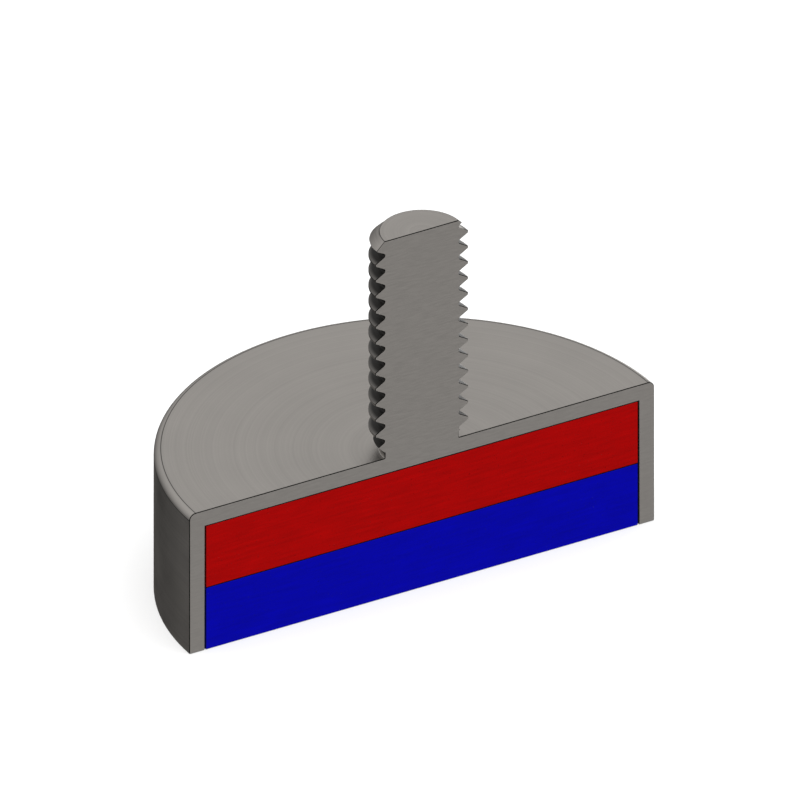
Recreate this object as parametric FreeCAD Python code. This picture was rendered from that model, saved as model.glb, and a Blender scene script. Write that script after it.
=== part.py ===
"""A pot magnet with a threaded stud, cut in half through its axis to show the inside.

The steel pot and its stud are one turned piece. The pot holds two magnet discs of one
diameter, the north pole above the south pole, and its rim ends flush with the lower disc.
All sizes are in millimetres. +Z is up along the stud, the origin is on the axis in the
magnetic face, and the cut face lies in the plane y = 0 with the kept half behind it.
"""

import FreeCAD, Part

import math
import os

# Driving dimensions of the pot
pot_diameter = 30.0
side_wall = 1.0
end_wall = 1.0
rim_radius = 0.4

# Driving dimensions of the two magnet discs
north_thickness = 4.0
south_thickness = 4.0
magnet_clearance = 0.05

# Driving dimensions of the stud, an ISO metric thread that ends in an undercut
thread_diameter = 6.0
thread_pitch = 1.0
stud_length = 14.0
undercut_height = 1.0
cut_clearance = 0.05

# Proportions of the ISO metric external thread, for a pitch of one
FLANK_ANGLE = 60.0
CREST_WIDTH = 1.0 / 8.0
TRIANGLE_HEIGHT = 0.5 / math.tan(math.radians(FLANK_ANGLE / 2.0))
CORE_DEPTH = 17.0 / 24.0 * TRIANGLE_HEIGHT

# Levels and radii that follow from the driving dimensions
seat_level = south_thickness + north_thickness
pot_top = seat_level + end_wall
stud_top = pot_top + stud_length
pot_radius = pot_diameter / 2.0
bore_radius = pot_radius - side_wall
magnet_radius = bore_radius - magnet_clearance
thread_radius = thread_diameter / 2.0
core_radius = thread_radius - CORE_DEPTH * thread_pitch

# The lead-in turns the start of the thread groove into the half that is cut away
LEAD_IN_ANGLE = 30.0

AXIS = FreeCAD.Vector(0, 0, 1)
CENTRE = FreeCAD.Vector(0, 0, 0)


def point(radius, height):
    """A point of a turned outline, at this radius and height."""
    return FreeCAD.Vector(radius, 0, height)


def outline(corners):
    """A closed wire of straight lines through these points."""
    return Part.makePolygon(corners + corners[:1])


def turned(wire):
    """The solid that this outline sweeps in a full turn about the axis."""
    solid = Part.Face(wire).revolve(CENTRE, AXIS, 360)
    solid.rotate(CENTRE, AXIS, -90)
    return solid


def sectioned(whole):
    """The half of a solid that lies behind the cut plane."""
    reach = pot_diameter
    behind = Part.makeBox(2 * reach, reach, 2 * stud_top, FreeCAD.Vector(-reach, 0, -stud_top / 2))
    return whole.common(behind).removeSplitter().Solids[0]


def pot_outline():
    """Half of the section of the pot and stud before the thread is cut."""
    chamfer = thread_radius - core_radius
    undercut_top = pot_top + undercut_height
    round_start = point(pot_radius - rim_radius, pot_top)
    round_end = point(pot_radius, pot_top - rim_radius)
    round_reach = rim_radius * math.cos(math.radians(45))
    round_middle = point(pot_radius - rim_radius + round_reach, pot_top - rim_radius + round_reach)
    stud_side = Part.makePolygon([
        point(0, stud_top),
        point(core_radius, stud_top),
        point(thread_radius, stud_top - chamfer),
        point(thread_radius, undercut_top),
        point(core_radius, undercut_top - chamfer),
        point(core_radius, pot_top),
        round_start,
    ])
    rim_round = Part.Arc(round_start, round_middle, round_end).toShape()
    pot_side = Part.makePolygon([
        round_end,
        point(pot_radius, 0),
        point(bore_radius, 0),
        point(bore_radius, seat_level),
        point(0, seat_level),
        point(0, stud_top),
    ])
    return Part.Wire(stud_side.Edges + [rim_round] + pot_side.Edges)


def groove_half_width(radius):
    """Half the height of the groove between two threads at this radius."""
    flank_slope = math.tan(math.radians(FLANK_ANGLE / 2.0))
    at_crest = thread_pitch * (1.0 - CREST_WIDTH) / 2.0
    return at_crest + (radius - thread_radius) * flank_slope


def groove_section():
    """The tool that cuts the thread: a V with a flat nose that stands a little out of the stud."""
    back = thread_radius + cut_clearance
    return outline([
        point(core_radius, -groove_half_width(core_radius)),
        point(core_radius, groove_half_width(core_radius)),
        point(back, groove_half_width(back)),
        point(back, -groove_half_width(back)),
    ])


def thread_groove():
    """The helical groove between the threads, from inside the undercut to above the stud."""
    start = pot_top + groove_half_width(thread_radius + cut_clearance) + cut_clearance
    helix = Part.makeLongHelix(thread_pitch, stud_top + thread_pitch - start, thread_radius, 0)
    sweep = Part.BRepOffsetAPI.MakePipeShell(Part.Wire(helix.Edges))
    sweep.setBiNormalMode(AXIS)
    sweep.add(groove_section())
    sweep.build()
    sweep.makeSolid()
    groove = sweep.shape()
    groove.translate(AXIS * start)
    groove.rotate(CENTRE, AXIS, -LEAD_IN_ANGLE)
    return groove


def steel_pot_with_stud():
    """The turned pot and stud in one piece, threaded and then cut in half."""
    return sectioned(turned(pot_outline()).cut(thread_groove()))


def magnet_disc(bottom, thickness):
    """Half of a magnet disc that fills the pot's bore between two levels."""
    wire = outline([
        point(0, bottom),
        point(magnet_radius, bottom),
        point(magnet_radius, bottom + thickness),
        point(0, bottom + thickness),
    ])
    return sectioned(turned(wire))


def build():
    """Writes each piece to its own file and prints its size."""
    pieces = {
        "steel_pot_with_stud": steel_pot_with_stud(),
        "north_pole_disc": magnet_disc(south_thickness, north_thickness),
        "south_pole_disc": magnet_disc(0.0, south_thickness),
    }
    os.makedirs("parts", exist_ok=True)
    for name, shape in pieces.items():
        shape.exportStep(os.path.join("parts", name + ".step"))
        box = shape.optimalBoundingBox(True, False)
        print(f"{name}: {box.XLength:.2f} x {box.YLength:.2f} x {box.ZLength:.2f} mm, "
              f"{shape.Volume:.1f} mm3, {len(shape.Faces)} faces, valid {shape.isValid()}")


build()
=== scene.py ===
# %% [markdown]
# # A pot magnet, cut in half
#
# A pot magnet is a steel cup with a magnet glued inside. The cup carries the magnetism of the
# upper pole round to its rim, so the whole pull comes out of one face, and a threaded stud on
# its back fastens it to something. This one is cut through its axis to show how it is built.
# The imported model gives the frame: three pieces with their real sizes and places. This script
# gives them their finish. It makes each piece again as a finer mesh of the same form, with
# broken edges and a rounded thread root, and it paints them with node materials.

import math

import bmesh
import bpy
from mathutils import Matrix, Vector


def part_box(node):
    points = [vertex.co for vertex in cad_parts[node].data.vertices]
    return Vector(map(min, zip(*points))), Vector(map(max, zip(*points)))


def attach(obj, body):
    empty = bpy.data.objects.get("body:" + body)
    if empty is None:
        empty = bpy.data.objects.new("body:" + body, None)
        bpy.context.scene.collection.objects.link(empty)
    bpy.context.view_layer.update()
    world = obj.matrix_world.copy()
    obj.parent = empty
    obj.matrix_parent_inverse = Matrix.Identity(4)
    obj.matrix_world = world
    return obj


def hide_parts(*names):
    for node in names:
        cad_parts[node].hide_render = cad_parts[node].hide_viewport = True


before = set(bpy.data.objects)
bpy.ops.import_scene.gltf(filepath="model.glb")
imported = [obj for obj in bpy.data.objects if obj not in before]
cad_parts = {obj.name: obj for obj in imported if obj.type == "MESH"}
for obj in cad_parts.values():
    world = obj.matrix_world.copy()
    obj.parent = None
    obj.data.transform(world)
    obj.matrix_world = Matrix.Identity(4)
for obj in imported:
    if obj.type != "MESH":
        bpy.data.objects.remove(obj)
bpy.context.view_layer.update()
MM = 0.001
print("nodes:", sorted(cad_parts))

# %% [markdown]
# ## Sizes of the pot and the discs
#
# Blender works in metres, and a part this small is easier to think about in millimetres, so
# every size below is in millimetres and each mesh is scaled once, at its end. The outer sizes
# and the discs' levels are read from the frame, so that the looks follow the model. A box
# doesn't tell the walls and the rim's round, so those are written here.


# %% Sizes of the pot and the discs
def box_mm(node):
    """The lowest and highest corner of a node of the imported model, in millimetres."""
    low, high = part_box(node)
    return low / MM, high / MM


_, steel_high = box_mm("steel_pot_with_stud")
north_low, north_high = box_mm("north_pole_disc")
pot_radius = steel_high.x
stud_top = steel_high.z
magnet_radius = north_high.x
seat_level = north_high.z
pole_level = north_low.z

end_wall = 1.0
side_wall = 1.0
rim_round = 0.4
pot_top = seat_level + end_wall
bore_radius = pot_radius - side_wall
print(f"pot {2 * pot_radius:.1f} across and {pot_top:.1f} high, stud up to {stud_top:.1f}")
print(f"discs {2 * magnet_radius:.1f} across, meeting at {pole_level:.1f}, seat at {seat_level:.1f}")

# %% [markdown]
# ## Sizes of the thread
#
# The stud is a coarse metric screw, 6 mm across. In the ISO metric thread everything follows
# from the pitch. The flanks are two sides of a triangle, 60 degrees apart, the crest is an
# eighth of the pitch wide, and the rounded root lies 17/24 of the triangle's height below it.
# Written as proportions, the thread stays true when the pitch changes. Under the thread the
# stud is undercut to its core, so that a nut can reach the pot.

# %% Sizes of the thread
thread_radius = 3.0
pitch = 1.0
flank_angle = math.radians(60.0)
crest_width = pitch / 8.0
triangle_height = pitch / 2.0 / math.tan(flank_angle / 2.0)
core_radius = thread_radius - 17.0 / 24.0 * triangle_height
chamfer = thread_radius - core_radius
undercut_height = 1.0
neck_top = pot_top + undercut_height - chamfer
print(f"thread core {2 * core_radius:.3f} across, neck from {pot_top:.2f} to {neck_top:.2f}")

# %% [markdown]
# ## Where the groove starts
#
# A thread has a phase: somewhere round the stud its groove begins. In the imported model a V
# shaped cutter starts just above the pot, in the half that was cut away, and climbs from there.
# The same start is worked out here, so that both threads have their teeth at the same heights.
# The height is that of the groove's middle where it crosses the cut on the side of +X.

# %% Where the groove starts
cutter_clearance = 0.05
lead_in_degrees = 30.0
groove_half = (pitch - crest_width) / 2.0 + cutter_clearance * math.tan(flank_angle / 2.0)
first_groove = pot_top + groove_half + cutter_clearance + pitch * lead_in_degrees / 360.0

THREAD_SIZES = {
    "Pitch": pitch,
    "Thread radius": thread_radius,
    "Core radius": core_radius,
    "Root round": triangle_height / 6.0,
    "First groove": first_groove,
    "Neck top": neck_top,
    "Stud top": stud_top,
}
print({name: round(value, 3) for name, value in THREAD_SIZES.items()})

# %% [markdown]
# ## Writing nodes as sums
#
# A node tree built one node at a time hides its meaning. Here a socket is wrapped in a small
# class, so that `radius * 2 + 1` adds the two Math nodes and reads like the formula it is.
# Other libraries do this for a whole tree, but these few operators are all that is needed, and
# they serve geometry and shaders alike.


# %% A socket that can stand in a sum
class Wire:
    """An output socket. Sums with it add Math nodes, and give the socket of their result."""

    def __init__(self, graph, socket):
        self.graph = graph
        self.socket = socket

    def __getitem__(self, name):
        """Another output of the node that this socket is on."""
        return Wire(self.graph, self.socket.node.outputs[name])

    def __add__(self, other):
        return self.graph.math("ADD", self, other)

    def __radd__(self, other):
        return self.graph.math("ADD", other, self)

    def __sub__(self, other):
        return self.graph.math("SUBTRACT", self, other)

    def __rsub__(self, other):
        return self.graph.math("SUBTRACT", other, self)

    def __mul__(self, other):
        return self.graph.math("MULTIPLY", self, other)

    def __rmul__(self, other):
        return self.graph.math("MULTIPLY", other, self)

    def __truediv__(self, other):
        return self.graph.math("DIVIDE", self, other)

    def __rtruediv__(self, other):
        return self.graph.math("DIVIDE", other, self)


# %% [markdown]
# ## Adding nodes to a tree
#
# Every other node comes from one method, which takes the node's type, its settings and what
# goes into its sockets. Settings are made first, because they decide which sockets a node has.
# A few nodes are used so often, such as a smooth step or a vector's parts, that a method with a
# plain name makes the formulas easier to read.


# %% A graph that adds nodes
class Graph:
    """Adds nodes to one node tree."""

    def __init__(self, tree):
        self.tree = tree

    def node(self, kind, settings=None, sockets=None):
        """Adds a node of this type, sets it, feeds its sockets and gives its first output in use."""
        made = self.tree.nodes.new(kind)
        for name, value in (settings or {}).items():
            setattr(made, name, value)
        for key, value in (sockets or {}).items():
            self.feed(made.inputs[key], value)
        in_use = [s for s in made.outputs if s.enabled]
        return Wire(self, in_use[0]) if in_use else made

    def feed(self, socket, value):
        """Links a wire, or each wire of a list, to a socket, or sets the socket's own value."""
        for one in value if isinstance(value, list) else [value]:
            if isinstance(one, Wire):
                self.tree.links.new(one.socket, socket)
            else:
                socket.default_value = one

    def math(self, operation, first, second=0.0):
        """The result of a Math node."""
        return self.node("ShaderNodeMath", {"operation": operation}, {0: first, 1: second})

    def vector(self, x, y, z):
        """A vector from its three parts."""
        return self.node("ShaderNodeCombineXYZ", None, {"X": x, "Y": y, "Z": z})

    def apart(self, vector):
        """The three parts of a vector."""
        parts = self.node("ShaderNodeSeparateXYZ", None, {"Vector": vector})
        return parts["X"], parts["Y"], parts["Z"]

    def step(self, value, low, high):
        """0 below low and 1 above high, with a smooth rise between them."""
        return self.node(
            "ShaderNodeMapRange",
            {"interpolation_type": "SMOOTHSTEP"},
            {"Value": value, "From Min": low, "From Max": high},
        )

    def fade(self, value, low, high):
        """1 below low and 0 above high, with a smooth fall between them."""
        return 1.0 - self.step(value, low, high)


# %% [markdown]
# ## Geometry trees with named inputs
#
# The turned pieces follow a rule, so Geometry Nodes make them: an outline is swept through
# half a turn. A tree's sizes are named inputs on its modifier, as they would be for a person
# who uses it by hand. This class opens a tree with its inputs and outputs, and it can capture a
# field on a curve, such as the angle of each column of points, before a sweep uses the curve up.

# %% A geometry tree
SOCKET_KINDS = {
    "geometry": "NodeSocketGeometry",
    "float": "NodeSocketFloat",
    "int": "NodeSocketInt",
    "material": "NodeSocketMaterial",
}


class GeometryGraph(Graph):
    """A geometry tree with named inputs and outputs."""

    def __init__(self, name, inputs, outputs):
        super().__init__(bpy.data.node_groups.new(name, "GeometryNodeTree"))
        for side, sockets in (("INPUT", inputs), ("OUTPUT", outputs)):
            for label, kind in sockets.items():
                self.tree.interface.new_socket(label, in_out=side, socket_type=SOCKET_KINDS[kind])
        self.start = self.tree.nodes.new("NodeGroupInput")
        self.end = self.tree.nodes.new("NodeGroupOutput")

    def given(self, name):
        """One of the tree's inputs."""
        return Wire(self, self.start.outputs[name])

    def result(self, name, value):
        """Sets one of the tree's outputs."""
        self.feed(self.end.inputs[name], value)

    def captured(self, geometry, name, value):
        """Stores a field on the points of a geometry, and gives both."""
        holder = self.tree.nodes.new("GeometryNodeCaptureAttribute")
        holder.capture_items.new("FLOAT", name)
        self.feed(holder.inputs["Geometry"], geometry)
        self.feed(holder.inputs[name], value)
        return Wire(self, holder.outputs["Geometry"]), Wire(self, holder.outputs[name])

    def position(self):
        """The three parts of each point's place."""
        return self.apart(self.node("GeometryNodeInputPosition"))

    def moved(self, geometry, position, selection=True):
        """A geometry with its selected points put somewhere else."""
        sockets = {"Geometry": geometry, "Selection": selection, "Position": position}
        return self.node("GeometryNodeSetPosition", None, sockets)

    def group(self, other, sockets):
        """Uses another tree as a node of this one."""
        return self.node("GeometryNodeGroup", {"node_tree": other.tree}, sockets)


# %% [markdown]
# ## Half a turn
#
# On a lathe the work turns and the tool follows an outline. Curve to Mesh does the same: the
# half circle is the path, and the outline is the section. The sweep is used only for its net
# of faces. Each point is then put where its captured radius, height and angle say, which
# leaves no doubt about the way the section faces, and lets the thread use the same net.

# %% The tree that sweeps an outline half way round
half_turn = GeometryGraph(
    "Half turn",
    {"Outline": "geometry", "Segments": "int"},
    {"Net": "geometry", "Angle": "float", "Radius": "float", "Height": "float"},
)
half_circle = half_turn.node(
    "GeometryNodeCurveArc",
    {"mode": "RADIUS"},
    {
        "Resolution": half_turn.given("Segments") + 1,
        "Radius": 1.0,
        "Start Angle": 0.0,
        "Sweep Angle": math.pi,
    },
)
share_of_turn = half_turn.node("GeometryNodeSplineParameter")
half_circle, angle = half_turn.captured(half_circle, "angle", share_of_turn * math.pi)

across, _, upward = half_turn.position()
outline, radius = half_turn.captured(half_turn.given("Outline"), "radius", across)
outline, height = half_turn.captured(outline, "height", upward)
net = half_turn.node(
    "GeometryNodeCurveToMesh", None, {"Curve": half_circle, "Profile Curve": outline}
)
for name, value in (("Net", net), ("Angle", angle), ("Radius", radius), ("Height", height)):
    half_turn.result(name, value)
print("half turn:", len(half_turn.tree.nodes), "nodes")

# %% [markdown]
# ## Turned outlines
#
# A disc and the plain parts of the pot are outlines with rounded corners. The finished mesh
# could be bevelled instead, but a corner that is rounded before the sweep is rounded evenly all
# the way round. Each point of an outline carries how far its corner is rounded, and Fillet
# Curve reads that, which keeps the chain of points short. The net stands a little behind the
# cut, to leave room for the broken edge there.


# %% Turn an outline
def turned(graph, net, radius, height):
    """Puts each point of a net at its radius and height, and none in front of the edge break."""
    sideways = radius * graph.math("COSINE", net["Angle"])
    behind = radius * graph.math("SINE", net["Angle"])
    behind = graph.math("MAXIMUM", behind, graph.given("Edge break"))
    return graph.moved(net, graph.vector(sideways, behind, height))


def turned_outline(graph):
    """The shell that the tree's outline sweeps, with the corners rounded as its points say."""
    corner = graph.node("GeometryNodeInputNamedAttribute", {"data_type": "FLOAT"}, {"Name": "corner"})
    chain = graph.node("GeometryNodeMeshToCurve", None, {"Mesh": graph.given("Outline")})
    rounded = graph.node(
        "GeometryNodeFilletCurve",
        {"mode": "POLY"},
        {"Curve": chain, "Count": graph.given("Corner steps"), "Radius": corner},
    )
    net = graph.group(half_turn, {"Outline": rounded, "Segments": graph.given("Segments")})
    return turned(graph, net, net["Radius"], net["Height"])


# %% [markdown]
# ## The way into the metal
#
# The sweep leaves each piece open along the cut. A sawn and ground face is never knife sharp: a
# light pass with a file breaks its edge. A Bevel modifier would do for the discs, but it
# tangles in the fine steps of a thread, so the bevel is built on the open edge itself. First
# that edge is welded, and each of its points keeps the way out of the metal, level with the cut.

# %% The way out at the open edge
close_cut = GeometryGraph(
    "Close the cut",
    {"Shell": "geometry", "Inset": "float", "Weld": "float"},
    {"Closed": "geometry"},
)


def welded(graph, geometry):
    """A geometry with the points that lie together made one."""
    sockets = {"Geometry": geometry, "Distance": graph.given("Weld")}
    return graph.node("GeometryNodeMergeByDistance", None, sockets)


normal_x, _, normal_z = close_cut.apart(close_cut.node("GeometryNodeInputNormal"))
length = close_cut.math("SQRT", normal_x * normal_x + normal_z * normal_z)
shell = welded(close_cut, close_cut.given("Shell"))
shell, outward_x = close_cut.captured(shell, "outward x", normal_x / length)
shell, outward_z = close_cut.captured(shell, "outward z", normal_z / length)
print("close the cut:", len(close_cut.tree.nodes), "nodes so far")

# %% [markdown]
# ## The broken edge
#
# The open edge is extruded without moving it, and the new points are then put on the cut, a
# little further into the metal. That makes one row of narrow faces all round the cut, the
# bevel that a file leaves. The inset is a field, so that it can shrink where there is no room.


# %% The bevel along the cut
def open_edges(graph):
    """The edges that have a face on one side only."""
    faces = graph.node("GeometryNodeInputMeshEdgeNeighbors")
    # Sockets 2 and 3 are the two whole numbers that the node compares.
    return graph.node(
        "FunctionNodeCompare", {"data_type": "INT", "operation": "EQUAL"}, {2: faces, 3: 1}
    )


extruded = close_cut.node(
    "GeometryNodeExtrudeMesh",
    {"mode": "EDGES"},
    {"Mesh": shell, "Selection": open_edges(close_cut), "Offset Scale": 0.0},
)
x, y, z = close_cut.position()
inset = close_cut.given("Inset")
on_the_cut = close_cut.vector(x - outward_x * inset, 0.0, z - outward_z * inset)
with_bevel = close_cut.moved(extruded, on_the_cut, extruded["Top"])
print("close the cut:", len(close_cut.tree.nodes), "nodes so far")

# %% [markdown]
# ## The cut face
#
# The bevel's new edge is the outline of the cut face. Fill Curve works in the level plane only,
# so the outline is laid down, filled and stood up again. Filling by triangles leaves the long
# thin slivers that any sawtooth outline gives, but the face is flat, so they don't show.

# %% Fill the cut
cut_outline = close_cut.node(
    "GeometryNodeMeshToCurve", None, {"Mesh": with_bevel, "Selection": open_edges(close_cut)}
)
laid_down = close_cut.moved(cut_outline, close_cut.vector(x, z, 0.0))
filled = close_cut.node("GeometryNodeFillCurve", {"mode": "TRIANGLES"}, {"Curve": laid_down})
cut_face = close_cut.moved(filled, close_cut.vector(x, 0.0, y))
joined = close_cut.node("GeometryNodeJoinGeometry", None, {"Geometry": [cut_face, with_bevel]})
close_cut.result("Closed", welded(close_cut, joined))
print("close the cut:", len(close_cut.tree.nodes), "nodes")

# %% [markdown]
# ## The form of the thread
#
# A thread is one groove that winds up the stud. Cutting a swept groove from a rod works too,
# but leaves ragged triangles where the groove meets the chamfers. Here each point of a net
# gets its radius from the thread's own rule: a straight flank, or the round of the root, and
# over both the limit that the stud's two chamfers set.

# %% The radius of the thread
thread_graph = GeometryGraph(
    "Thread",
    {
        "Segments": "int",
        "Rows a pitch": "int",
        "Edge break": "float",
        **{name: "float" for name in THREAD_SIZES},
    },
    {"Shell": "geometry"},
)
size = thread_graph.given
print("thread:", len(thread_graph.tree.interface.items_tree), "inputs and outputs")


def groove_radius(along):
    """The radius of a thread without ends, from the distance to a crest along the axis."""
    half_pitch = size("Pitch") / 2.0
    half_crest = size("Pitch") / 16.0
    half_root = size("Pitch") / 8.0
    steepness = 1.0 / math.tan(flank_angle / 2.0)
    from_crest = thread_graph.math("PINGPONG", along, half_pitch)
    from_root = half_pitch - from_crest
    flank = size("Thread radius") - (from_crest - half_crest) * steepness
    dip = size("Root round") * size("Root round") - from_root * from_root
    dip = thread_graph.math("SQRT", thread_graph.math("MAXIMUM", dip, 0.0))
    root = size("Core radius") + size("Root round") - dip
    in_root = thread_graph.math("LESS_THAN", from_root, half_root)
    return thread_graph.node(
        "GeometryNodeSwitch",
        {"input_type": "FLOAT"},
        {"Switch": in_root, "False": flank, "True": root},
    )


def chamfered_radius(level):
    """The most that the stud's radius may be at a level, with a chamfer at each end."""
    at_tip = size("Core radius") + size("Stud top") - level
    at_neck = size("Core radius") + level - size("Neck top")
    limit = thread_graph.math("MINIMUM", at_tip, at_neck)
    return thread_graph.math("MINIMUM", limit, size("Thread radius"))


# %% [markdown]
# ## The net of the thread
#
# The rows of the net climb with the angle by one pitch a turn, so that they run along the
# crests and keep them crisp. Level rows would need many more points to do the same. The net
# reaches past both ends of the stud, by half a turn more at the neck because the rows climb.
# The rows beyond are held at its two end circles, where they are welded into one.

# %% The tree of the thread
above_groove = (size("Stud top") - size("First groove")) / size("Pitch")
below_groove = (size("First groove") - size("Neck top")) / size("Pitch")
turns_up = thread_graph.math("CEIL", above_groove)
turns_down = thread_graph.math("CEIL", below_groove + 0.5)
highest = size("First groove") + turns_up * size("Pitch")
lowest = size("First groove") - turns_down * size("Pitch")
axis_line = thread_graph.node(
    "GeometryNodeCurvePrimitiveLine",
    None,
    {
        "Start": thread_graph.vector(0.0, 0.0, highest),
        "End": thread_graph.vector(0.0, 0.0, lowest),
    },
)
rows = thread_graph.node(
    "GeometryNodeResampleCurve",
    {"mode": "COUNT"},
    {"Curve": axis_line, "Count": size("Rows a pitch") * (turns_up + turns_down) + 1},
)
sleeve = thread_graph.group(half_turn, {"Outline": rows, "Segments": size("Segments")})
climb = sleeve["Angle"] * size("Pitch") * (0.5 / math.pi)
level = thread_graph.node(
    "ShaderNodeClamp",
    None,
    {"Value": sleeve["Height"] + climb, "Min": size("Neck top"), "Max": size("Stud top")},
)
along = sleeve["Height"] - size("First groove") - size("Pitch") / 2.0
radius = thread_graph.math("MINIMUM", groove_radius(along), chamfered_radius(level))
thread_graph.result("Shell", turned(thread_graph, sleeve, radius, level))
print("thread:", len(thread_graph.tree.nodes), "nodes")

# %% [markdown]
# ## Finishing a tree
#
# Every piece ends the same way. The shells are joined and the cut is closed, the result is
# scaled from millimetres to metres, and edges that turn by more than a set angle are marked
# sharp, so that the smooth shading stops there. Realize Instances and Set Material come last,
# because an export needs real faces with a material on them.


# %% The end of a tree
def finished(graph, shells, inset):
    """Closes the cut, scales to metres, marks the sharp edges and gives the material."""
    joined = graph.node("GeometryNodeJoinGeometry", None, {"Geometry": shells})
    closed = graph.group(close_cut, {"Shell": joined, "Inset": inset, "Weld": graph.given("Weld")})
    scaled = graph.node("GeometryNodeTransform", None, {"Geometry": closed, "Scale": (MM, MM, MM)})
    bend = graph.node("GeometryNodeInputMeshEdgeAngle")
    sharp = graph.math("GREATER_THAN", bend, graph.given("Sharp from"))
    creased = graph.node(
        "GeometryNodeSetShadeSmooth",
        {"domain": "EDGE"},
        {"Geometry": scaled, "Selection": sharp, "Shade Smooth": False},
    )
    real = graph.node("GeometryNodeRealizeInstances", None, {"Geometry": creased})
    sockets = {"Geometry": real, "Material": graph.given("Finish")}
    graph.result("Piece", graph.node("GeometryNodeSetMaterial", None, sockets))


# %% [markdown]
# ## The pot and stud
#
# The real pot and stud are turned from one bar, so they are one piece here too. Its tree turns
# the plain outline and adds the thread. Along the cut the thread has a narrower broken edge
# than the pot, and none where its groove runs out into the chamfers: the outline has short
# steps there, and a wide bevel would fold over itself.

# %% The tree of the pot and stud
TURNED_INPUTS = {
    "Outline": "geometry",
    "Segments": "int",
    "Corner steps": "int",
    "Edge break": "float",
    "Sharp from": "float",
    "Weld": "float",
    "Finish": "material",
}
pot_graph = GeometryGraph(
    "Threaded pot",
    {
        **TURNED_INPUTS,
        "Rows a pitch": "int",
        "Thread edge break": "float",
        **{name: "float" for name in THREAD_SIZES},
    },
    {"Piece": "geometry"},
)
given = pot_graph.given
passed_on = ("Segments", "Rows a pitch", "Edge break", *THREAD_SIZES)
thread_shell = pot_graph.group(thread_graph, {name: given(name) for name in passed_on})
print("threaded pot:", len(pot_graph.tree.interface.items_tree), "inputs and outputs")

# %% [markdown]
# ## The pot's broken edge
#
# Where the thread begins and ends, the inset is found from the height alone. The pot, its neck
# and the tip have the full edge break, and the whole turns of the thread have the narrow one,
# which fades in and out over a fraction of a millimetre.

# %% The inset along the pot's cut
RUN_OUT = 0.3

_, _, height = pot_graph.position()
below_thread = pot_graph.math("LESS_THAN", height, given("Neck top") + given("Weld"))
above_thread = pot_graph.math("GREATER_THAN", height, given("Stud top") - given("Weld"))
thread_depth = given("Thread radius") - given("Core radius")
starts = given("Neck top") + thread_depth
ends = given("Stud top") - thread_depth
has_started = pot_graph.step(height, starts, starts + RUN_OUT)
goes_on = pot_graph.fade(height, ends - RUN_OUT, ends)
plain_inset = (below_thread + above_thread) * given("Edge break")
thread_inset = given("Thread edge break") * has_started * goes_on
finished(pot_graph, [turned_outline(pot_graph), thread_shell], plain_inset + thread_inset)
print("threaded pot:", len(pot_graph.tree.nodes), "nodes")

# %% [markdown]
# ## The magnet discs
#
# Under the pot's roof lie two plain discs, so their tree is the pot's without the thread. They
# could be solid cylinders, but ground ceramic has chipped, faintly rounded corners, and turning
# an outline gives those for nothing.

# %% The tree of a disc
disc_graph = GeometryGraph("Half disc", TURNED_INPUTS, {"Piece": "geometry"})
finished(disc_graph, [turned_outline(disc_graph)], disc_graph.given("Edge break"))
print("half disc:", len(disc_graph.tree.nodes), "nodes")

# %% [markdown]
# ## Finishes
#
# Every finish reads Object coordinates, which are metres from the part's origin, so it stays
# on the piece from all sides. A small class opens a material, gives the place of the shaded
# point in millimetres, and offers the few things that all the finishes need: noise, a mix of
# colours, a bump, and a value that several noises sway about its middle.


# %% A material
class MaterialGraph(Graph):
    """A material's shader nodes, with the place on the piece in millimetres."""

    def __init__(self, name):
        self.material = bpy.data.materials.new(name)
        self.material.use_nodes = True
        super().__init__(self.material.node_tree)
        self.tree.nodes.clear()
        self.place = self.node(
            "ShaderNodeVectorMath",
            {"operation": "SCALE"},
            {"Vector": self.node("ShaderNodeTexCoord")["Object"], "Scale": 1.0 / MM},
        )
        self.x, self.y, self.z = self.apart(self.place)

    def noise(self, where, scale, detail=2.0, roughness=0.5):
        """Noise of about 0 to 1 at a place, with this many features a millimetre."""
        sockets = {"Vector": where, "Scale": scale, "Detail": detail, "Roughness": roughness}
        return self.node("ShaderNodeTexNoise", None, sockets)

    def swayed(self, middle, *swings):
        """A middle value that each noise sways by up to half its reach either way."""
        for noise, reach in swings:
            middle = middle + (noise - 0.5) * reach
        return middle

    def mix(self, factor, first, second):
        """The first colour where the factor is 0, and the second where it is 1."""
        # Sockets 6 and 7 are the node's two colours. Those before them are for numbers and vectors.
        return self.node("ShaderNodeMix", {"data_type": "RGBA"}, {0: factor, 6: first, 7: second})

    def bump(self, height, microns):
        """A normal tilted by a height that runs from 0 to 1 over this many thousandths of a mm."""
        sockets = {"Height": height, "Distance": microns * MM * MM, "Strength": 1.0}
        return self.node("ShaderNodeBump", None, sockets)

    def surface(self, sockets):
        """Ends the material with a Principled shader."""
        shader = self.node("ShaderNodeBsdfPrincipled", None, sockets)
        self.node("ShaderNodeOutputMaterial", None, {"Surface": shader})
        return self.material


# %% [markdown]
# ## Colours
#
# A shader takes linear colours: 0.5 there is a light grey on the screen. Zinc or nickel plating
# over steel isn't neutral but a little warm, so each grey of the steel has slightly less green
# and much less blue than red. Writing that once keeps every shade of it in one family.


# %% Colours
def grey(value):
    """A pure grey."""
    return (value, value, value, 1.0)


def warm_grey(value):
    """The slightly warm grey of plated steel."""
    return (value, value * 0.945, value * 0.885, 1.0)


def shade(colour, share):
    """A colour with its strength multiplied."""
    return tuple(part * share for part in colour) + (1.0,)


RED = (0.45, 0.0004, 0.0004)
BLUE = (0.0004, 0.0004, 0.45)
print("steel", warm_grey(0.5), "red", RED, "blue", BLUE)

# %% [markdown]
# ### Steel: the marks of the tools
#
# Turning leaves fine rings on the pot. On a level face they follow the radius, and on an
# upright one the height. A picture of rings would need a flat map of the part. Here radius
# minus height follows the tool all along the outline, so one noise along that number draws
# them all. The cut face was ground in one direction, so its marks are a noise that is drawn
# out along X.

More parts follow.
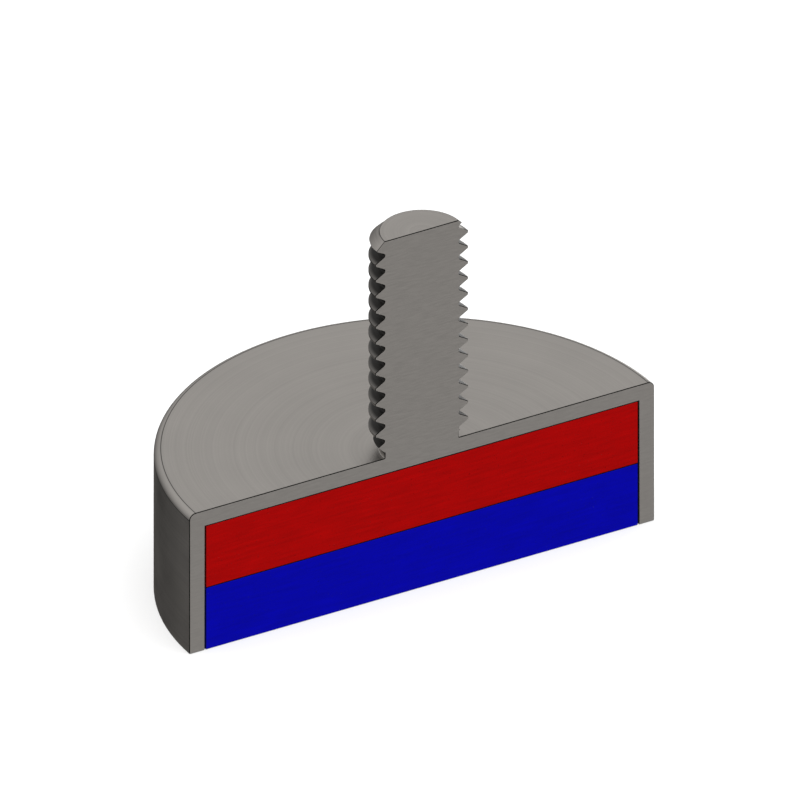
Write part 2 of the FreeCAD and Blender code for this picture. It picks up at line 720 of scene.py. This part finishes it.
# %% Rings and grinding marks
CONTRAST = (0.3, 0.7)
DRAWN_OUT = 0.12
ANOTHER_PLACE = 3.0
CUT_FADE = (0.002, 0.006)

steel = MaterialGraph("turned_steel")
from_axis = steel.math("SQRT", steel.x * steel.x + steel.y * steel.y)
tool_path = from_axis - steel.z
fine = steel.noise(steel.vector(tool_path, 0.0, 0.0), scale=7.0, detail=3.0, roughness=0.6)
rings = steel.step(fine, *CONTRAST)
broad_rings = steel.noise(steel.vector(tool_path, ANOTHER_PLACE, 0.0), scale=1.4)

along_x = steel.vector(steel.x * DRAWN_OUT, 0.0, steel.z)
scratches = steel.noise(along_x, scale=9.0, detail=4.0, roughness=0.65)
grinding = steel.step(scratches, *CONTRAST)

on_cut = steel.fade(steel.y, *CUT_FADE)
marks = rings + (grinding - rings) * on_cut
print("marks of the tools:", len(steel.tree.nodes), "nodes")

# %% [markdown]
# ### Steel: painted dark lines at its edges
#
# A thin dark line, like a pencil line, is painted along the filed edge and along each ring where
# two turned faces meet. It is colour that the material paints on these edges under any light.
# Curves could be laid along them as pieces of their own. But the broken edge
# is known by how far it lies behind the cut, and each corner is a ring of known radius and
# height, so the distance to that ring draws its line in the material.

# %% Painted dark lines along the edges
EDGE_BREAK = 0.045
BREAK_FADE = (EDGE_BREAK + 0.004, EDGE_BREAK + 0.012)
LINE_FADE = (0.015, 0.04)
RINGED_CORNERS = (
    (pot_radius, pot_top - rim_round),
    (pot_radius - rim_round, pot_top),
    (core_radius, pot_top),
    (core_radius, stud_top),
    (thread_radius, stud_top - chamfer),
)

# Painted dark lines: on_break is the filed edge and lines are the rings where turned faces meet.
on_break = (1.0 - on_cut) * steel.fade(steel.y, *BREAK_FADE)
lines = 0.0
for ring_radius, ring_height in RINGED_CORNERS:
    out, over = from_axis - ring_radius, steel.z - ring_height
    distance = steel.math("SQRT", out * out + over * over)
    lines = lines + steel.fade(distance, *LINE_FADE)
print("ringed corners:", [(round(r, 2), round(h, 2)) for r, h in RINGED_CORNERS])

# %% [markdown]
# ### Steel: oil film and painted shade on the thread
#
# A cut thread is rougher than a turned face, and it keeps a dark film of oil, which darkens its
# crests too. Deeper in the grooves the darkening grows, and that part is painted shade in the
# recesses. It could be a second material on the thread's faces, but a
# mask fades out softly down the neck and towards the tip. The mask is the product of a few
# steps: behind the cut, above the pot, below the tip and no further out than the crests. The
# darkening has its full strength from four tenths of the groove's depth inwards.

# %% Oil film and painted groove shade on the thread
NECK_FADE = (pot_top, neck_top)
TIP_FADE = (stud_top - chamfer - 0.14, stud_top - chamfer)
CREST_FADE = (thread_radius + 0.02, thread_radius + 0.1)
ON_CRESTS, IN_GROOVES = 0.6, 0.96
FULL_FROM = 0.4

in_thread = (
    (1.0 - on_cut)
    * steel.step(steel.z, *NECK_FADE)
    * steel.fade(steel.z, *TIP_FADE)
    * steel.fade(from_axis, *CREST_FADE)
)
depth = (thread_radius - from_axis) / chamfer
# Painted shade: darker towards the bottom of the grooves, over the oil film on the crests.
painted_groove_shade = steel.step(depth, 0.0, FULL_FROM)
oil_and_groove_shade = in_thread * (ON_CRESTS + (IN_GROOVES - ON_CRESTS) * painted_groove_shade)
print("film on the thread:", len(steel.tree.nodes), "nodes so far")

# %% [markdown]
# ### Steel: its surface
#
# The layers go on in this order: the turned metal, the ground cut, the oil film with the painted
# shade in the thread's grooves, and the painted dark lines. Steel is a metal all over, so its
# base colour is the colour of its reflection. The marks feed the roughness and a bump of a few
# thousandths of a millimetre as well as the colour, because each of the three shows them under
# another light.

# %% The steel's surface
# Tones of the oil film with its painted groove shade, and of the two painted dark lines.
OIL_AND_SHADE_TONE = warm_grey(0.015)
PAINTED_LINE_TONE = warm_grey(0.03)
PAINTED_BREAK_TONE = warm_grey(0.02)
LINE_STRENGTH = 0.8

cloud = steel.noise(steel.place, scale=0.35, detail=3.0)
sway = steel.swayed(0.5, (broad_rings, 0.7), (cloud, 0.5), (marks, 0.5))
turned_tone = steel.mix(sway, warm_grey(0.44), warm_grey(0.54))
ground_tone = steel.mix(marks, warm_grey(0.46), warm_grey(0.51))
tone = steel.mix(on_cut, turned_tone, ground_tone)
# Oil film on the thread, with painted shade deeper in its grooves.
tone = steel.mix(oil_and_groove_shade, tone, OIL_AND_SHADE_TONE)
# Painted dark lines along the ringed corners and on the filed edge.
tone = steel.mix(lines * LINE_STRENGTH, tone, PAINTED_LINE_TONE)
tone = steel.mix(on_break, tone, PAINTED_BREAK_TONE)
roughness = steel.swayed(0.4, (cloud, 0.1), (marks, 0.06)) + on_cut * 0.04 + on_break * 0.2
steel_material = steel.surface(
    {
        "Base Color": tone,
        "Metallic": 1.0,
        "Roughness": roughness,
        "Normal": steel.bump(marks, microns=2.5),
    }
)
print("turned steel:", len(steel.tree.nodes), "nodes")

# %% [markdown]
# ### The painted poles
#
# The magnets are hard ferrite, a black ceramic, in the usual colours of a teaching model: red
# for north and blue for south. The enamel was put on with a brush, so it has faint strokes
# along X and a few small pores, and where the edge was broken the black ceramic shows. A flat
# colour would match a drawing, but the strokes are what makes it read as paint close up.


# %% Painted ferrite
BRUSHED_OUT = 0.08
PORE_EDGES = (0.66, 0.74)
PAINT_FADE = (0.004, 0.01)
CERAMIC_FADE = (EDGE_BREAK, EDGE_BREAK + 0.005)
CERAMIC = grey(0.004)


def painted(name, colour, seed):
    """Satin enamel of one colour on black ceramic."""
    paint = MaterialGraph(name)
    offset = {0: paint.place, 1: (seed, seed, seed)}
    shifted = paint.node("ShaderNodeVectorMath", {"operation": "ADD"}, offset)
    along_x = paint.vector(paint.x * BRUSHED_OUT + seed, paint.y, paint.z)
    cloud = paint.noise(shifted, scale=0.5, detail=3.0)
    strokes = paint.noise(along_x, scale=5.0, detail=4.0, roughness=0.6)
    grain = paint.noise(shifted, scale=14.0, detail=3.0, roughness=0.6)
    pores = paint.step(paint.noise(shifted, scale=8.0, detail=1.0), *PORE_EDGES)
    on_break = paint.step(paint.y, *PAINT_FADE) * paint.fade(paint.y, *CERAMIC_FADE)

    sway = paint.swayed(0.5, (cloud, 0.4), (strokes, 1.2), (grain, 0.5))
    tone = paint.mix(sway, shade(colour, 0.75), shade(colour, 1.25))
    tone = paint.mix(pores * 0.5, tone, shade(colour, 0.4))
    tone = paint.mix(on_break, tone, CERAMIC)
    return paint.surface(
        {
            "Base Color": tone,
            "Roughness": paint.swayed(0.5, (strokes, 0.2)) + on_break * 0.2,
            "Specular IOR Level": 0.06,
            "Normal": paint.bump(strokes * 0.7 + grain * 0.3 - pores, microns=6.0),
        }
    )


red_paint = painted("north_red_paint", RED, 0.0)
blue_paint = painted("south_blue_paint", BLUE, 40.0)
print("paints:", red_paint.name, "and", blue_paint.name, len(red_paint.node_tree.nodes), "nodes each")

# %% [markdown]
# ## Outlines as chains of corners
#
# An outline is a chain of corners, each with its radius from the axis, its height and how far
# it is rounded. Smooth shading blends over the whole of a face, so a large flat face beside a
# small rounding would look dented. A guard point close to each side of every rounding keeps
# that blend inside a narrow strip.

# %% Guard points
GUARD = 0.04


def guard_point(here, neighbour, corner):
    """A point on the way to a neighbour, just past the end of a corner's rounding."""
    towards = (Vector(neighbour[:2]) - here).normalized()
    return here + towards * (corner + GUARD)


def guarded(chain):
    """The chain with a guard point on each side of every rounded corner."""
    points = []
    for i, (radius, height, corner) in enumerate(chain):
        here = Vector((radius, height))
        if corner == 0.0:
            points.append((here, 0.0))
            continue
        before = guard_point(here, chain[i - 1], corner)
        after = guard_point(here, chain[i + 1], corner)
        points += [(before, 0.0), (here, corner), (after, 0.0)]
    return points


def outline_mesh(name, chains):
    """A mesh of edges that holds each chain, with each point's rounding as an attribute."""
    points, edges = [], []
    for chain in chains:
        first = len(points)
        points += guarded(chain)
        edges += [(i, i + 1) for i in range(first, len(points) - 1)]
    mesh = bpy.data.meshes.new(name)
    mesh.from_pydata([(p.x, 0.0, p.y) for p, _ in points], edges, [])
    corner = mesh.attributes.new("corner", "FLOAT", "POINT")
    corner.data.foreach_set("value", [c for _, c in points])
    return mesh


# %% [markdown]
# ## From a tree to a mesh
#
# A tree runs as a modifier on an outline. Its named inputs are set by their identifiers, which
# stay the same when an input is renamed. The evaluated result is copied into a plain mesh, and
# the outline and its modifier are thrown away, so that what is handed over is only faces. The
# outline has no material, which leaves an empty slot before the finish, so that slot goes too.


# %% Run a tree on an outline
def make_piece(name, graph, chains, settings):
    """The piece that a tree makes from these chains, as a plain mesh object."""
    host = bpy.data.objects.new(name + "_outline", outline_mesh(name + "_outline", chains))
    bpy.context.scene.collection.objects.link(host)
    modifier = host.modifiers.new("Turn", "NODES")
    modifier.node_group = graph.tree
    for item in graph.tree.interface.items_tree:
        if item.name in settings:
            modifier[item.identifier] = settings[item.name]
    evaluated = host.evaluated_get(bpy.context.evaluated_depsgraph_get())
    mesh = bpy.data.meshes.new_from_object(evaluated)
    mesh.name = name
    mesh.attributes.remove(mesh.attributes["corner"])
    while mesh.materials[0] is None:
        mesh.materials.pop(index=0)
    bpy.data.objects.remove(host)
    piece = bpy.data.objects.new(name, mesh)
    bpy.context.scene.collection.objects.link(piece)
    return piece


# %% [markdown]
# ## Standing in for a node
#
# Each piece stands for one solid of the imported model, which stays hidden behind it. The print
# compares the two volumes and counts the edges that aren't closed. It shows at once a hole, a
# face that points inwards or a size that was misread.


# %% Compare a piece with its solid
SAME_PLACE = 1e-8


def volume_mm3(mesh):
    """The signed volume of a mesh and the number of its edges that aren't closed."""
    work = bmesh.new()
    work.from_mesh(mesh)
    bmesh.ops.remove_doubles(work, verts=work.verts, dist=SAME_PLACE)
    volume = work.calc_volume(signed=True) / MM**3
    gaps = sum(1 for edge in work.edges if len(edge.link_faces) != 2)
    work.free()
    return volume, gaps


def fit(piece, node, slot):
    """Lets a piece stand for its node, and prints how it compares with it."""
    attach(piece, "root")
    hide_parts(node)
    volume, gaps = volume_mm3(piece.data)
    solid, _ = volume_mm3(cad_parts[node].data)
    triangles = sum(len(face.vertices) - 2 for face in piece.data.polygons)
    print(f"{piece.name}: {triangles} triangles, {gaps} open edges, "
          f"{volume:.1f} mm3 for a solid of {solid:.1f}, {[m.name for m in piece.data.materials]}")


# %% [markdown]
# ## The steel pot with its stud
#
# The outline has two chains, because the thread stands between them: the flat tip of the stud,
# and the neck with the pot below it. The pot's corners were broken when it was turned, and its
# rim has a larger round. The edge break and the corners are only a few hundredths of a
# millimetre, but without them the metal has no lines of light along its edges.

# %% The steel pot with its stud
BROKEN_CORNER = 0.07
shared = {
    "Segments": 72,
    "Corner steps": 6,
    "Edge break": EDGE_BREAK,
    "Sharp from": math.radians(28.0),
    "Weld": 0.0005,
}
tip_chain = [(0.0, stud_top, 0.0), (core_radius, stud_top, 0.0)]
pot_chain = [
    (core_radius, neck_top, 0.0),
    (core_radius, pot_top, BROKEN_CORNER),
    (pot_radius, pot_top, rim_round),
    (pot_radius, 0.0, BROKEN_CORNER),
    (bore_radius, 0.0, BROKEN_CORNER),
    (bore_radius, seat_level, 0.0),
    (0.0, seat_level, 0.0),
]
print(len(pot_chain), "corners of the pot,", len(guarded(pot_chain)), "points with their guards")
pot = make_piece(
    "pot_with_stud",
    pot_graph,
    [tip_chain, pot_chain],
    {
        **shared,
        **THREAD_SIZES,
        "Rows a pitch": 48,
        "Thread edge break": 0.03,
        "Finish": steel_material,
    },
)
fit(pot, "steel_pot_with_stud", "plated_steel")

# %% [markdown]
# ## The two discs
#
# The north pole's disc lies against the roof of the pot and the south pole's disc under it,
# flush with the rim. They differ only in their levels and their paint, so a loop makes both.


# %% The two discs
def disc_chain(low, high):
    """The outline of a disc between two levels."""
    return [
        (0.0, high, 0.0),
        (magnet_radius, high, BROKEN_CORNER),
        (magnet_radius, low, BROKEN_CORNER),
        (0.0, low, 0.0),
    ]


for name, node, low, high, finish, slot in (
    ("north_disc", "north_pole_disc", pole_level, seat_level, red_paint, "north_red"),
    ("south_disc", "south_pole_disc", 0.0, pole_level, blue_paint, "south_blue"),
):
    disc = make_piece(name, disc_graph, [disc_chain(low, high)], {**shared, "Finish": finish})
    fit(disc, node, slot)

# %% [markdown]
# ## Camera
#
# The picture is a parallel projection, so the camera is orthographic. It looks from 30 degrees
# left of the cut face's normal and 30 degrees above the level. Its scale is the width of the
# picture in metres, worked out from the pot's width in pixels, and its place puts the part's
# origin on its own pixel.

# %% The camera's directions
PICTURE = 800
AZIMUTH, ELEVATION = -30.0, 30.0
PIXELS_PER_MM = 17.897
ORIGIN_PIXEL = (422.0, 587.5)

turn, rise = math.radians(AZIMUTH), math.radians(ELEVATION)
back = Vector(
    (math.sin(turn) * math.cos(rise), -math.cos(turn) * math.cos(rise), math.sin(rise))
)
right = Vector((math.cos(turn), math.sin(turn), 0.0))
up = back.cross(right)
print("right", [round(v, 3) for v in right], "up", [round(v, 3) for v in up])

# %% The camera
CAMERA_DISTANCE = 200.0 * MM

pixel = MM / PIXELS_PER_MM
aside = (PICTURE / 2 - ORIGIN_PIXEL[0]) * pixel
above = (ORIGIN_PIXEL[1] - PICTURE / 2) * pixel

camera_data = bpy.data.cameras.new("camera")
camera_data.type = "ORTHO"
camera_data.ortho_scale = PICTURE * pixel
camera_data.clip_start = 0.001
camera_data.clip_end = 10.0
camera = bpy.data.objects.new("camera", camera_data)
camera.location = back * CAMERA_DISTANCE + right * aside + up * above
camera.rotation_mode = "QUATERNION"
camera.rotation_quaternion = back.to_track_quat("Z", "Y")
bpy.context.scene.collection.objects.link(camera)
bpy.context.scene.camera = camera
print(f"camera: {camera_data.ortho_scale / MM:.2f} mm across the picture")

# %% [markdown]
# ## Floor
#
# The part stands on a pale floor. A box with a curved back would do as well, but the backdrop
# is the same white on every side here, so a large plane is enough. It is left out of
# reflections and bounces, because a floor close under shiny metal would hide the fade of the
# sky in it. Half of its light is its own, as on a light table, which thins the part's shadow
# on it. It throws no shadow itself and is clear from below, so a lamp and a camera down there
# see the underside.

# %% Floor
FLOOR_SIZE = 6.0
FLOOR_DROP = 0.01 * MM
OWN_LIGHT = 0.5

bpy.ops.mesh.primitive_plane_add(size=FLOOR_SIZE, location=(0.0, 0.0, -FLOOR_DROP))
floor = bpy.context.object
floor.name = "studio_floor"
floor.visible_glossy = False
floor.visible_diffuse = False
floor.visible_shadow = False

floor_finish = MaterialGraph("pale_floor")
from_below = floor_finish.node("ShaderNodeNewGeometry")["Backfacing"]
pale = floor_finish.node("ShaderNodeBsdfDiffuse", None, {"Color": grey(0.9)})
glow = floor_finish.node("ShaderNodeEmission", None, {"Color": grey(1.0), "Strength": 1.0})
table = floor_finish.node("ShaderNodeMixShader", None, {0: OWN_LIGHT, 1: pale, 2: glow})
clear = floor_finish.node("ShaderNodeBsdfTransparent")
two_sided = floor_finish.node("ShaderNodeMixShader", None, {0: from_below, 1: table, 2: clear})
floor_finish.node("ShaderNodeOutputMaterial", None, {"Surface": two_sided})
floor.data.materials.append(floor_finish.material)
print(f"floor: {FLOOR_SIZE:.0f} m wide, {FLOOR_DROP / MM:.2f} mm under the part")

# %% [markdown]
# ## Lamps
#
# A wide lamp overhead gives the soft light of a studio. It is kept out of reflections, where it
# would show as a white disc in the top of the pot. A narrow one from straight below reaches
# only the underside, and a weak one from behind and below gives the turned side its line of
# light. Area lamps would do the same, but a sun needs no size or distance to suit a small part.


# %% Lamps
def sun(name, strength, width, direction):
    """A distant lamp of this width in degrees, which shines from a direction."""
    data = bpy.data.lights.new(name, "SUN")
    data.energy = strength
    data.angle = math.radians(width)
    lamp = bpy.data.objects.new(name, data)
    lamp.rotation_mode = "QUATERNION"
    lamp.rotation_quaternion = Vector(direction).to_track_quat("Z", "Y")
    bpy.context.scene.collection.objects.link(lamp)
    print(f"{name}: strength {strength}, {width} degrees wide, from {direction}")
    return lamp


overhead = sun("overhead", strength=3.0, width=70.0, direction=(0.15, -0.1, 1.0))
overhead.visible_glossy = False
sun("under", strength=2.5, width=4.0, direction=(0.0, 0.0, -1.0))
sun("behind", strength=0.35, width=36.0, direction=(0.7, 0.68, -0.25))

# %% [markdown]
# ## Sky
#
# Metal shows its surroundings more than its lamps. A sky that fades from the front and above to
# the back and below is what makes the top of the pot light, the cut face a middle grey and the
# turned side dark. A studio picture wrapped round the scene would do this too, but a fade is
# one sum: the middle strength plus how far a direction leans with the light. The camera itself
# sees a plain white backdrop.

# %% Sky
SKY_MIDDLE = 0.516
SKY_LEAN = (-0.069, -0.26, 0.58)
SKY_DARKEST, SKY_BRIGHTEST = 0.0, 0.75
BACKDROP = 1.05

world = bpy.data.worlds.new("studio")
world.use_nodes = True
bpy.context.scene.world = world
sky = Graph(world.node_tree)
sky.tree.nodes.clear()
looking = sky.node("ShaderNodeTexCoord")["Generated"]
lean = sky.node("ShaderNodeVectorMath", {"operation": "DOT_PRODUCT"}, {0: looking, 1: SKY_LEAN})
fade = sky.math("MAXIMUM", SKY_MIDDLE + lean["Value"], SKY_DARKEST)
fade = sky.math("MINIMUM", fade, SKY_BRIGHTEST)
seen = sky.node("ShaderNodeLightPath")["Is Camera Ray"]
strength = fade + (BACKDROP - fade) * seen
background = sky.node("ShaderNodeBackground", None, {"Color": grey(1.0), "Strength": strength})
sky.node("ShaderNodeOutputWorld", None, {"Surface": background})
for name, direction in (("front", (0.0, -1.0, 0.0)), ("back", (0.0, 1.0, 0.0))):
    print(f"sky at the {name}: {SKY_MIDDLE + Vector(SKY_LEAN).dot(direction):.2f}")

# %% [markdown]
# ## Colour and the end
#
# The Standard view transform shows a colour as it was mixed, which suits a technical picture
# with its pure red and blue.

# %% Colour management
bpy.context.scene.view_settings.view_transform = "Standard"
bpy.context.scene.view_settings.look = "None"
